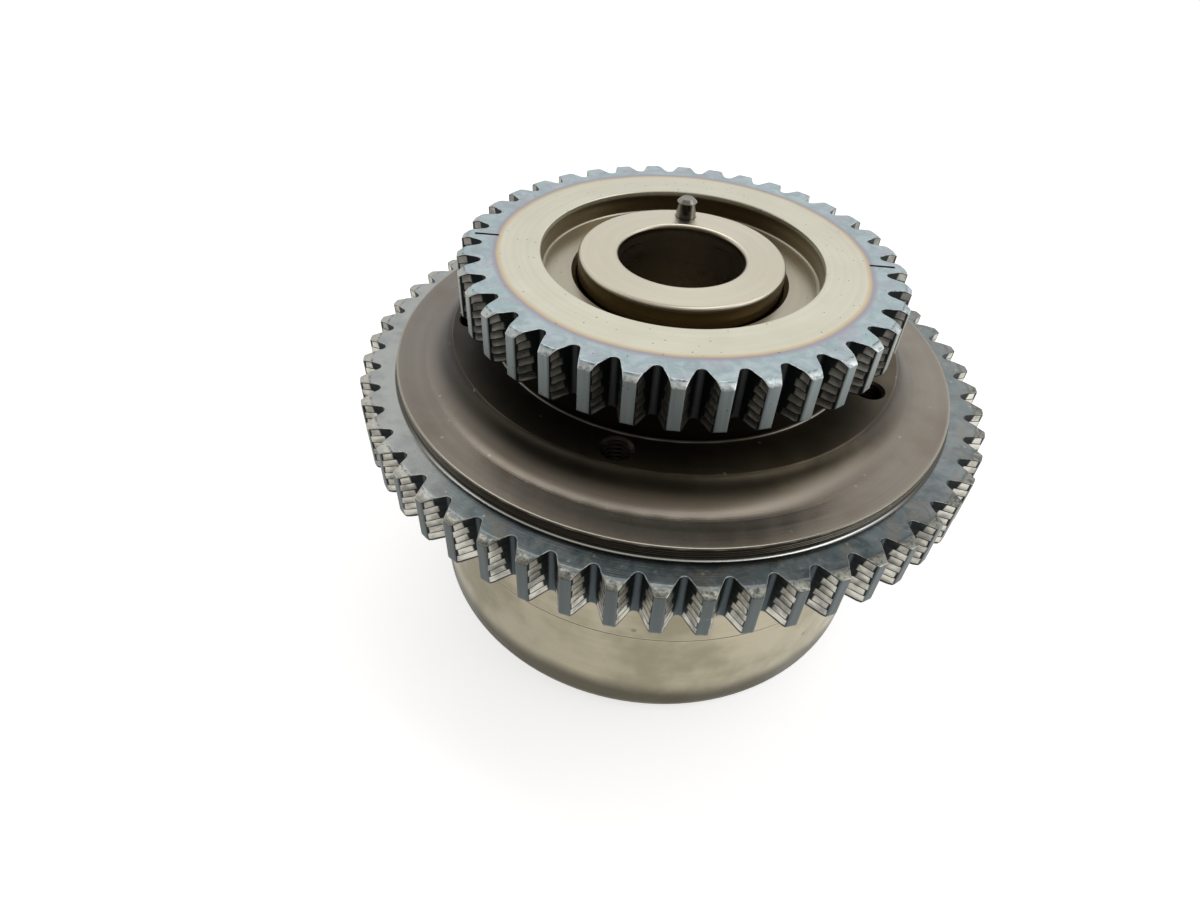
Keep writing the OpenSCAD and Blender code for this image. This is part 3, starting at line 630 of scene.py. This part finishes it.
def tooth_finish(s, place, colour, rough, tones):
    """Teeth over a face finish: slate tips, painted paler at the sides as light, and gap bottoms with upright
    grain; dark flanks with staggered pale patches that the chain's plates polished; speckled worn bevels,
    painted paler at the left as light, with a gritty crease and a bright line along their outer edge.
    the tooth (near and far, with their steps from plate to plate and the fan), and how bevels start and fray.
    Returns colour, roughness and grit for the bump."""
    side, across, edge, drop = (s.attribute(n) for n in ("side", "across", "edge", "drop"))
    cloud = s.noise(place, 160.0, 3.0)
    x, y, z = s.split(place)
    upright = s.noise(s.xyz(s.math("MULTIPLY", x, 1600.0), s.math("MULTIPLY", y, 1600.0),
                            s.math("MULTIPLY", z, 90.0)), 1.0, 3.0)
    slate = s.mix(upright, tones["slate_dark"], tones["slate"])
    tip = tones["reach"] * MM
    # Tips painted paler at the far left and right: painted light
    aside = s.ramp(s.math("ABSOLUTE", x), 0.7 * tip, 0.95 * tip, 0.0, 0.7)
    slate = s.mix(aside, slate, rgb("b7b6ad"))
    bands = s.math("MULTIPLY", across, float(PLATES_ACROSS))
    inside = s.math("ABSOLUTE", s.math("SUBTRACT", s.math("FRACT", bands), 0.5))
    odd = s.math("MULTIPLY", s.math("FRACT", s.math("MULTIPLY", s.math("FLOOR", bands), 0.5)), 2.0)
    stray = s.math("MULTIPLY", s.math("SUBTRACT", cloud, 0.5), 0.25)
    near = s.math("ADD", s.math("MULTIPLY_ADD", odd, tones["near_step"], tones["near"]), stray)
    far = s.math("ADD", s.math("MULTIPLY_ADD", odd, tones["far_step"], tones["far"]), stray)
    far = s.math("MULTIPLY_ADD", across, tones["fan"], far)
    patch = s.math("MULTIPLY", s.ramp(s.math("SUBTRACT", drop, near), -0.02, 0.02),
                   s.ramp(s.math("SUBTRACT", drop, far), 0.06, -0.02))
    patch = s.math("MULTIPLY", patch, s.ramp(inside, 0.47, 0.41))
    patch = s.math("MULTIPLY", patch, s.ramp(s.noise(place, 420.0, 2.0), 0.3, 0.65, 0.45, 1.0))
    wall = s.mix(s.ramp(drop, 0.02, 0.07), slate, tones["flank"])
    wall = s.mix(patch, wall, tones["polish"])
    wall = s.mix(s.ramp(drop, 0.925, 0.955), wall, s.mix(upright, tones["bottom_dark"], tones["bottom"]))
    colour = s.mix(side, colour, wall)
    top = s.math("SUBTRACT", 1.0, side, clamp=True)
    grit = s.noise(place, 1400.0, 4.0, 0.7)
    specks = s.use(PITS, Place=place, Scale=1300.0, Share=0.3)["Mask"]
    frayed = s.math("SUBTRACT", s.noise(place, 500.0, 4.0, 0.65), 0.5)
    reach = s.math("ADD", edge, s.math("MULTIPLY", frayed, tones["fray"]))
    bevel = s.ramp(reach, tones["worn_from"], tones["worn_from"] + 0.6)
    bevel = s.math("MULTIPLY", s.math("MULTIPLY", bevel, s.ramp(edge, 0.02, 0.2)), top)
    speckled = s.mix(s.ramp(grit, 0.36, 0.6), tones["bevel_dark"], tones["bevel"])
    # Bevels painted paler at the left: painted light
    speckled = s.mix(s.ramp(x, -0.35 * tip, -0.75 * tip, 0.0, 0.8), speckled, rgb("bcbbb2"))
    colour = s.mix(s.math("MULTIPLY", bevel, 0.85), colour, speckled)
    colour = s.mix(s.math("MULTIPLY", specks, s.math("MULTIPLY", bevel, 0.8)), colour, rgb("3a3a37"))
    crease = s.math("MULTIPLY", s.ramp(edge, 0.01, 0.08), s.ramp(edge, 0.35, 0.15))
    crease = s.math("MULTIPLY", s.math("MULTIPLY", crease, top), s.ramp(grit, 0.42, 0.6, 0.0, 0.7))
    colour = s.mix(crease, colour, rgb("4d5253"))
    brink = s.math("MULTIPLY", s.ramp(edge, 1.1, 1.7), s.ramp(s.noise(place, 330.0, 3.0), 0.4, 0.6))
    brink = s.math("MULTIPLY", brink, s.ramp(drop, 0.4, 0.05))
    colour = s.mix(brink, colour, tones["brink"])
    side_rough = s.math("SUBTRACT", 0.48, s.math("MULTIPLY", patch, 0.16))
    rough = s.math("ADD", rough, s.math("MULTIPLY", bevel, s.ramp(grit, 0.3, 0.7, 0.2, 0.06)))
    rough = s.math("ADD", s.math("MULTIPLY", rough, top), s.math("MULTIPLY", side, side_rough))
    return colour, rough, s.math("MULTIPLY", bevel, grit)


def small_sprocket_steel():
    """Cream satin face with a heat-tint boundary, a blue-grey hardened rim, two timing marks, a dark neck and
    worn teeth."""
    material, s, shader = new_metal("small_sprocket_steel")
    place = s.place()
    about = s.use(AXIS, Place=place)
    wander = s.math("MULTIPLY", s.math("SUBTRACT", s.noise(place, 90.0), 0.5), 0.8)
    r = s.math("ADD", about["Radius"], wander)
    cloud = s.noise(place, 130.0, 4.0)
    turned = s.use(GRAIN, Place=place, Fineness=3.0)["Grain"]
    face = s.mix(cloud, rgb("c8c4b2"), rgb("d9d6c6"))
    face = s.mix(s.ramp(turned, 0.35, 0.65, 0.0, 0.16), face, rgb("b9b4a0"))
    rim = s.use(MOTTLE, Place=place, Dark=rgb("97a6ab"), Light=rgb("b0bec2"), Tint_A=rgb("9db4b4"),
                Tint_B=rgb("a8a5b0"), Bloom=rgb("bcc5c7"))["Color"]
    colour = s.mix(s.ramp(r, TINT_R - 0.7, TINT_R), face, rgb("c7b491"))
    colour = s.mix(s.ramp(r, TINT_R - 0.1, TINT_R + 0.4), colour, rgb("9f9ba4"))
    colour = s.mix(s.ramp(r, TINT_R + 0.4, TINT_R + 1.4), colour, rim)
    below = s.ramp(about["Height"], Z_TOP - 0.6, Z_TOP - 1.0)
    inner = s.math("MULTIPLY", below, s.ramp(about["Radius"], TROUGH_R + 1.0, TROUGH_R + 0.6))
    trough = s.mix(s.ramp(about["Height"], Z_TROUGH + 0.1, Z_TROUGH + 0.6), rgb("a8a292"), rgb("7f735b"))
    colour = s.mix(inner, colour, trough)
    neck = s.math("MULTIPLY", s.ramp(about["Height"], Z_SMALL + 0.05, Z_SMALL - 0.2),
                  s.ramp(about["Radius"], TROUGH_R + 0.6, TROUGH_R + 1.0))
    colour = s.mix(neck, colour, rgb("3c372f"))
    # Pale line at the foot of the neck: a painted highlight
    foot = s.math("MULTIPLY", neck, s.ramp(about["Height"], Z_BOSS + 0.45, Z_BOSS + 0.3))
    colour = s.mix(foot, colour, rgb("969186"))
    specks = s.use(PITS, Place=place, Scale=1300.0, Share=0.14)["Mask"]
    marks = 0.0
    for turn in (MARK_ANGLES + 180) % 360 / 360 - 0.5:
        beside = s.ramp(s.math("ABSOLUTE", s.math("SUBTRACT", about["Turn"], turn)), 0.0017, 0.0012)
        beside = s.math("MULTIPLY", beside, s.ramp(about["Radius"], MARK_R - 0.2, MARK_R))
        marks = s.math("ADD", marks, beside)
    marks = s.math("MULTIPLY", marks, s.ramp(about["Radius"], MARK_R + MARK_LEN + 0.1, MARK_R + MARK_LEN))
    dark = s.math("MAXIMUM", s.math("MULTIPLY", specks, 0.75), s.math("MULTIPLY", marks, 0.9))
    grain = s.use(GRAIN, Place=place, Fineness=7.0)
    tones = dict(slate=rgb("a0a9a9"), slate_dark=rgb("7d8787"), flank=rgb("2c3031"), polish=rgb("aba9a1"),
                 bevel=rgb("d8dcdc"), bevel_dark=rgb("8f989f"), brink=rgb("e9ecec"), bottom=rgb("55585a"),
                 bottom_dark=rgb("393b3a"), near=0.1, near_step=0.05, far=0.4, far_step=0.1, fan=0.28,
                 reach=SMALL["tip"], fray=0.7, worn_from=0.15)
    rough = s.ramp(grain["Bands"], 0.2, 0.8, 0.27, 0.36)
    colour, rough, grit = tooth_finish(s, place, colour, rough, tones)
    colour = s.mix(dark, colour, rgb("33312d"))
    s.plug(shader["Base Color"], colour)
    s.plug(shader["Roughness"], rough)
    pitted = s.math("SUBTRACT", grain["Grain"], specks)
    bump(s, shader, s.math("ADD", pitted, s.math("MULTIPLY", grit, 3.0)), 0.1)
    return material


def large_sprocket_steel():
    """Dark oiled boss and plate, a turned step, and a blue-grey toothed ring with worn bevels. Painted light
    and
    shade: the boss's dark tone is partly shade under the small sprocket and it is paler to the right, the
    plate is darker at the left, the step's groove bottoms and the tapped holes are dark, the ring's foot is
    pale at the front and dark at the sides, and the ring's face is paler at the left and right.
    """
    material, s, shader = new_metal("large_sprocket_steel")
    place = s.place()
    about = s.use(AXIS, Place=place)
    cloud = s.noise(place, 70.0, 4.0)
    grain = s.use(GRAIN, Place=place, Fineness=6.0)
    r, x = about["Radius"], s.split(place)[0]
    # Boss: a dark oiled tone, partly painted shade under the small sprocket, and paler to the right as
    # painted light
    boss = s.mix(s.ramp(cloud, 0.3, 0.7), rgb("28241e"), rgb("3e392f"))
    boss = s.mix(s.ramp(x, -0.015, 0.02), boss, s.mix(s.ramp(cloud, 0.3, 0.7), rgb("423b2f"), rgb("5f5747")))
    plate = s.mix(grain["Bands"], rgb("7a736a"), rgb("938c82"))
    plate = s.mix(s.ramp(cloud, 0.45, 0.75, 0.0, 0.5), plate, rgb("6b5f4e"))
    # Plate painted darker at the left: painted shade
    plate = s.mix(s.ramp(x, -0.01, -0.04, 0.0, 0.35), plate, rgb("5d5a56"))
    face = s.use(MOTTLE, Place=place, Dark=rgb("4b5458"), Light=rgb("6c7477"), Tint_A=rgb("50656b"),
                 Tint_B=rgb("706c64"), Bloom=rgb("858682"))["Color"]
    # Ring face painted paler at the left and, less, at the right, broken by noise: painted light on the sides
    painted_side_light = s.math("MAXIMUM", s.ramp(x, -0.018, -0.042, 0.0, 0.85), s.ramp(x, 0.03, 0.05, 0.0, 0.3))
    painted_side_light = s.math("MULTIPLY", painted_side_light, s.ramp(s.noise(place, 240.0, 4.0, 0.6), 0.3, 0.6, 0.7, 1.0))
    face = s.mix(painted_side_light, face, rgb("a6a8a5"))
    on_plate = s.ramp(r, BOSS_R + 0.6, BOSS_R + 3.8)
    colour = s.mix(on_plate, boss, plate)
    s.plug(shader["Metallic"], s.ramp(r, PLATE_R, PLATE_R + 0.5, 0.82, 1.0))
    colour = s.mix(s.ramp(r, PLATE_R - 0.5, PLATE_R - 0.25), colour, rgb("989286"))
    # Turned wall of the step: groove bottoms painted near black as shade, against paler crests
    crests = s.mix(s.ramp(r, PLATE_R - 0.08, PLATE_R - 0.03), rgb("1c1915"), rgb("6f695e"))
    colour = s.mix(s.ramp(about["Height"], Z_PLATE - 0.25, Z_PLATE - 0.4),
                   colour, s.mix(s.ramp(r, PLATE_R - 1.5, PLATE_R - 1.0), boss, crests))
    # Ring's foot painted pale at the front as a highlight and dark at the sides as shade
    line = s.mix(s.ramp(s.math("ABSOLUTE", x), 0.024, 0.04), rgb("cdd1d0"), rgb("4c4b46"))
    colour = s.mix(s.ramp(r, PLATE_R + 0.1, PLATE_R + 0.2), colour, line)
    colour = s.mix(s.ramp(r, PLATE_R + RING_FOOT - 0.1, PLATE_R + RING_FOOT + 0.15), colour, face)
    # Tapped holes painted dark inside, below the boss top: painted shade
    bolt_r = s.math("SUBTRACT", s.math("ABSOLUTE", s.math("SUBTRACT", r, BOLT_AT)), 2.6)
    under = s.ramp(about["Height"], Z_BOSS - 0.3, Z_BOSS - 0.9)
    colour = s.mix(s.math("MULTIPLY", s.ramp(bolt_r, 0.1, -0.1), under), colour, rgb("2a2620"))
    specks = s.use(PITS, Place=place, Scale=620.0, Share=0.1)["Mask"]
    colour = s.mix(s.math("MULTIPLY", specks, 0.35), colour, rgb("b9b6a6"))
    tones = dict(slate=rgb("767d7d"), slate_dark=rgb("596161"), flank=rgb("2b2f31"), polish=rgb("d6d3c8"),
                 bevel=rgb("8f8f87"), bevel_dark=rgb("50524e"), brink=rgb("c9c8c0"), bottom=rgb("5c666a"),
                 bottom_dark=rgb("434b4f"), near=0.12, near_step=-0.06, far=0.42, far_step=0.1, fan=0.35,
                 reach=LARGE["tip"], fray=1.6, worn_from=-0.2)
    rough = s.ramp(grain["Bands"], 0.2, 0.8, 0.2, 0.26)
    for start, end, low, high in ((PLATE_R, PLATE_R + 0.5, 0.0, -0.03), (BOSS_R - 0.6, BOSS_R, 0.11, 0.0),
                                  (BOSS_R + 3.6, BOSS_R + BOSS_FILLET, 0.09, 0.0)):
        rough = s.math("ADD", rough, s.ramp(r, start, end, low, high))
    colour, rough, grit = tooth_finish(s, place, colour, rough, tones)
    s.plug(shader["Base Color"], colour)
    s.plug(shader["Roughness"], rough)
    bump(s, shader, s.math("ADD", grain["Grain"], s.math("MULTIPLY", grit, 3.0)), 0.1)
    return material


def drum_steel():
    """Warm satin steel with faint turning lines and oil stains, painted darker towards the lower edge as
    shade, and paler along the seam as light.
    """
    material, s, shader = new_metal("drum_steel")
    place = s.place()
    about = s.use(AXIS, Place=place)
    grain = s.use(GRAIN, Place=place, Fineness=5.0)
    stain = s.use(STAIN, Place=place, Scale=55.0)["Mask"]
    colour = s.mix(grain["Bands"], rgb("aba289"), rgb("c1b9a2"))
    colour = s.mix(s.math("MULTIPLY", stain, 0.5), colour, rgb("807a63"))
    # Darker towards the lower edge, with a wavering border: painted shade
    uneven = s.math("MULTIPLY", s.noise(place, 30.0), 6.0)
    low = s.ramp(s.math("ADD", about["Height"], uneven), 12.4, 7.6)
    colour = s.mix(s.math("MULTIPLY", low, 0.9), colour, rgb("4b4636"))
    # Pale band along the seam: painted light laid over the joint's shade
    seam = s.ramp(s.math("ABSOLUTE", s.math("SUBTRACT", about["Height"], Z_SEAM)), 0.45, 0.1)
    colour = s.mix(s.math("MULTIPLY", seam, 0.6), colour, rgb("c6bfa8"))
    specks = s.use(PITS, Place=place, Scale=300.0, Share=0.08)["Mask"]
    colour = s.mix(s.math("MULTIPLY", specks, 0.5), colour, rgb("5a523f"))
    s.plug(shader["Base Color"], colour)
    rough = s.ramp(grain["Bands"], 0.2, 0.8, 0.3, 0.4)
    s.plug(shader["Roughness"], s.math("ADD", rough, s.math("MULTIPLY", stain, 0.1)))
    bump(s, shader, grain["Grain"], 0.1)
    return material


def rotor_steel():
    """Bright turned hub face, a golden-brown hub wall and a plain bore, which its depth darkens."""
    material, s, shader = new_metal("rotor_steel")
    place = s.place()
    about = s.use(AXIS, Place=place)
    grain = s.use(GRAIN, Place=place, Fineness=9.0)
    r, z = about["Radius"], about["Height"]
    face_z = node_span("vane_rotor")[1][2]
    face = s.mix(grain["Bands"], rgb("bfb9a8"), rgb("d6d0bf"))
    wall = s.mix(grain["Bands"], rgb("5f5038"), rgb("84734f"))
    colour = s.mix(s.ramp(z, face_z - 0.35, face_z - 0.9), face, wall)
    bore = s.math("MULTIPLY", s.ramp(r, 10.75, 10.55), s.ramp(z, face_z - 0.6, face_z - 1.6))
    colour = s.mix(bore, colour, rgb("c4bcae"))
    s.plug(shader["Base Color"], colour)
    s.plug(shader["Roughness"], s.ramp(grain["Bands"], 0.2, 0.8, 0.26, 0.36))
    lay = s.tree.nodes.new("ShaderNodeTangent")
    lay.direction_type, lay.axis = "RADIAL", "Z"
    s.plug(shader["Tangent"], lay.outputs[0])
    shader["Anisotropic"].default_value = 0.7
    bump(s, shader, grain["Grain"], 0.05)
    return material


def plain_steel(name, dark, light, rough, specks_tone):
    """Ground, drawn or blackened steel for pins, springs and bolts: two tones in fine grain, with specks."""
    material, s, shader = new_metal(name)
    place = s.place()
    cloud = s.noise(place, 240.0, 3.0)
    fine = s.noise(place, 1500.0, 2.0)
    specks = s.use(PITS, Place=place, Scale=700.0, Share=0.15)["Mask"]
    colour = s.mix(cloud, rgb(dark), rgb(light))
    colour = s.mix(s.math("MULTIPLY", specks, 0.6), colour, rgb(specks_tone))
    s.plug(shader["Base Color"], colour)
    s.plug(shader["Roughness"], s.ramp(fine, 0.2, 0.8, rough - 0.07, rough + 0.07))
    bump(s, shader, fine, 0.08)
    return material


def seal_plastic():
    """Dark filled plastic with a fine matt grain."""
    material, s, shader = new_metal("seal_plastic")
    shader["Metallic"].default_value = 0.0
    place = s.place()
    fine = s.noise(place, 1800.0, 3.0)
    s.plug(shader["Base Color"], s.mix(fine, rgb("1d1f20"), rgb("35383a")))
    s.plug(shader["Roughness"], s.ramp(fine, 0.2, 0.8, 0.5, 0.65))
    bump(s, shader, fine, 0.15)
    return material


finishes = {
    "small_sprocket_steel": small_sprocket_steel(),
    "large_sprocket_steel": large_sprocket_steel(),
    "drum_steel": drum_steel(),
    "rotor_steel": rotor_steel(),
    "pin_steel": plain_steel("pin_steel", "77756f", "9a9891", 0.24, "5b584f"),
    "spring_steel": plain_steel("spring_steel", "6d7072", "9a9d9e", 0.32, "3a3a38"),
    "bolt_steel": plain_steel("bolt_steel", "1f1f1f", "383735", 0.42, "6a675f"),
    "seal_plastic": seal_plastic(),
}
slot_of = {part["node"]: part["material_slot"] for part in frame["record"]["subparts"]}
for node, obj in frame["nodes"].items():
    obj.data.materials.clear()
    obj.data.materials.append(finishes[slot_of[node]])
for piece, finish in ((small, "small_sprocket_steel"), (ring, "large_sprocket_steel"),
                      (body, "large_sprocket_steel"), (pin_coil, "spring_steel")):
    piece.data.materials.append(finishes[finish])


# Studio: floor, world, lamps and camera

def studio_floor():
    """Large pale floor just under the drum; it shows white to the camera and keeps the part's soft shadow. In
    reflections it is nearly dark in front of the part, where the viewer stands, and a little dimmer at the
    left."""
    half, z = 3.0, -0.00002
    data = bpy.data.meshes.new("floor")
    data.from_pydata([(-half, -half, z), (half, -half, z), (half, half, z), (-half, half, z)], [],
                     [(0, 1, 2, 3)])
    obj = bpy.data.objects.new("floor", data)
    bpy.context.scene.collection.objects.link(obj)
    material = bpy.data.materials.new("floor_white")
    material.use_nodes = True
    shader = material.node_tree.nodes["Principled BSDF"].inputs
    s = Sketch(material.node_tree)
    x, y, _ = s.split(s.place())
    ahead = s.ramp(y, -0.08, -0.105)
    between = s.ramp(s.math("ABSOLUTE", x), 0.24, 0.12)
    dim = s.math("SUBTRACT", 1.0, s.math("MULTIPLY", s.math("MULTIPLY", ahead, between), 0.95))
    dim = s.math("MULTIPLY", dim, s.ramp(x, -0.09, 0.07, 0.72, 1.0))
    seen = material.node_tree.nodes.new("ShaderNodeLightPath").outputs["Is Camera Ray"]
    glow = s.mix(seen, s.mix(dim, (0, 0, 0, 1), (1, 1, 1, 1)), (1, 1, 1, 1))
    shader["Base Color"].default_value = (0.9, 0.9, 0.9, 1)
    shader["Roughness"].default_value = 0.9
    s.plug(shader["Emission Color"], glow)
    shader["Emission Strength"].default_value = 0.72
    obj.data.materials.append(material)


def studio_world():
    """White to the camera. In reflections it is a white paper sweep behind the part, up to about half way
    from the horizon to overhead, a dim ceiling over it and a dark room in front; soft fill for the floor."""
    world = bpy.data.worlds.new("studio")
    bpy.context.scene.world = world
    world.use_nodes = True
    tree = world.node_tree
    s = Sketch(tree)
    background = tree.nodes["Background"]
    across, away, up = s.split(tree.nodes.new("ShaderNodeTexCoord").outputs["Generated"])
    path = tree.nodes.new("ShaderNodeLightPath").outputs
    sweep = s.mix(s.ramp(across, -0.7, 0.7), (0.94, 0.94, 0.94, 1), (1.04, 1.04, 1.04, 1))
    sweep = s.mix(1.0, sweep, s.ramp(up, 0.3, 0.58, 0.88, 1.2), "MULTIPLY")
    room = s.mix(s.ramp(away, -0.4, 0.1), (0.08, 0.08, 0.08, 1), sweep)
    sky = s.mix(s.ramp(up, 0.6, 0.82), room, (0.5, 0.465, 0.415, 1))
    s.plug(background.inputs["Color"], s.mix(path["Is Camera Ray"], sky, (1, 1, 1, 1)))
    seen = s.math("MAXIMUM", path["Is Glossy Ray"], path["Is Transmission Ray"])
    seen = s.math("MAXIMUM", path["Is Camera Ray"], seen)
    s.plug(background.inputs["Strength"], s.math("MULTIPLY_ADD", seen, 0.5, 0.5))


def lamp(name, place, target, size, power):
    """Soft lamp of a width and height at a place, facing a target, in metres."""
    data = bpy.data.lights.new(name, "AREA")
    data.shape = "RECTANGLE"
    data.size, data.size_y = size
    data.energy = power
    obj = bpy.data.objects.new(name, data)
    bpy.context.scene.collection.objects.link(obj)
    place, target = np.array(place), np.array(target)
    back = (place - target) / np.linalg.norm(place - target)
    right = np.cross((0, 0, 1), back)
    right /= np.linalg.norm(right)
    obj.matrix_world = Matrix(np.column_stack([right, np.cross(back, right), back]).tolist()).to_4x4()
    obj.location = place


def photo_camera():
    """Camera fitted to the round edges in the photo: place in millimetres, angles in degrees, focal length in
    pixels of a picture 1200 pixels wide."""
    place = np.array([0.2, -110.5, 124.0]) * MM
    yaw, pitch, roll = np.radians([-6.12, 42.48, 3.21])
    focal, width = 727.4, 1200
    ahead = np.array([np.sin(yaw) * np.cos(pitch), np.cos(yaw) * np.cos(pitch), -np.sin(pitch)])
    right = np.cross(ahead, (0, 0, 1))
    right /= np.linalg.norm(right)
    up = np.cross(right, ahead)
    right, up = np.cos(roll) * right + np.sin(roll) * up, -np.sin(roll) * right + np.cos(roll) * up
    data = bpy.data.cameras.new("photo_camera")
    data.sensor_width, data.sensor_fit = 36, "HORIZONTAL"
    data.lens = focal / width * data.sensor_width
    data.clip_start = 0.005
    obj = bpy.data.objects.new("photo_camera", data)
    bpy.context.scene.collection.objects.link(obj)
    obj.matrix_world = Matrix(np.column_stack([right, up, -ahead]).tolist()).to_4x4()
    obj.location = place
    bpy.context.scene.camera = obj


studio_floor()
studio_world()
lamp("overhead", place=(0.06, 0.14, 0.6), target=(0, 0, 0.05), size=(0.95, 0.19), power=1.1)
lamp("side", place=(0.42, -0.05, 0.3), target=(0, 0, 0.05), size=(0.25, 0.25), power=0.25)
photo_camera()
bpy.context.scene.view_settings.view_transform = "Standard"
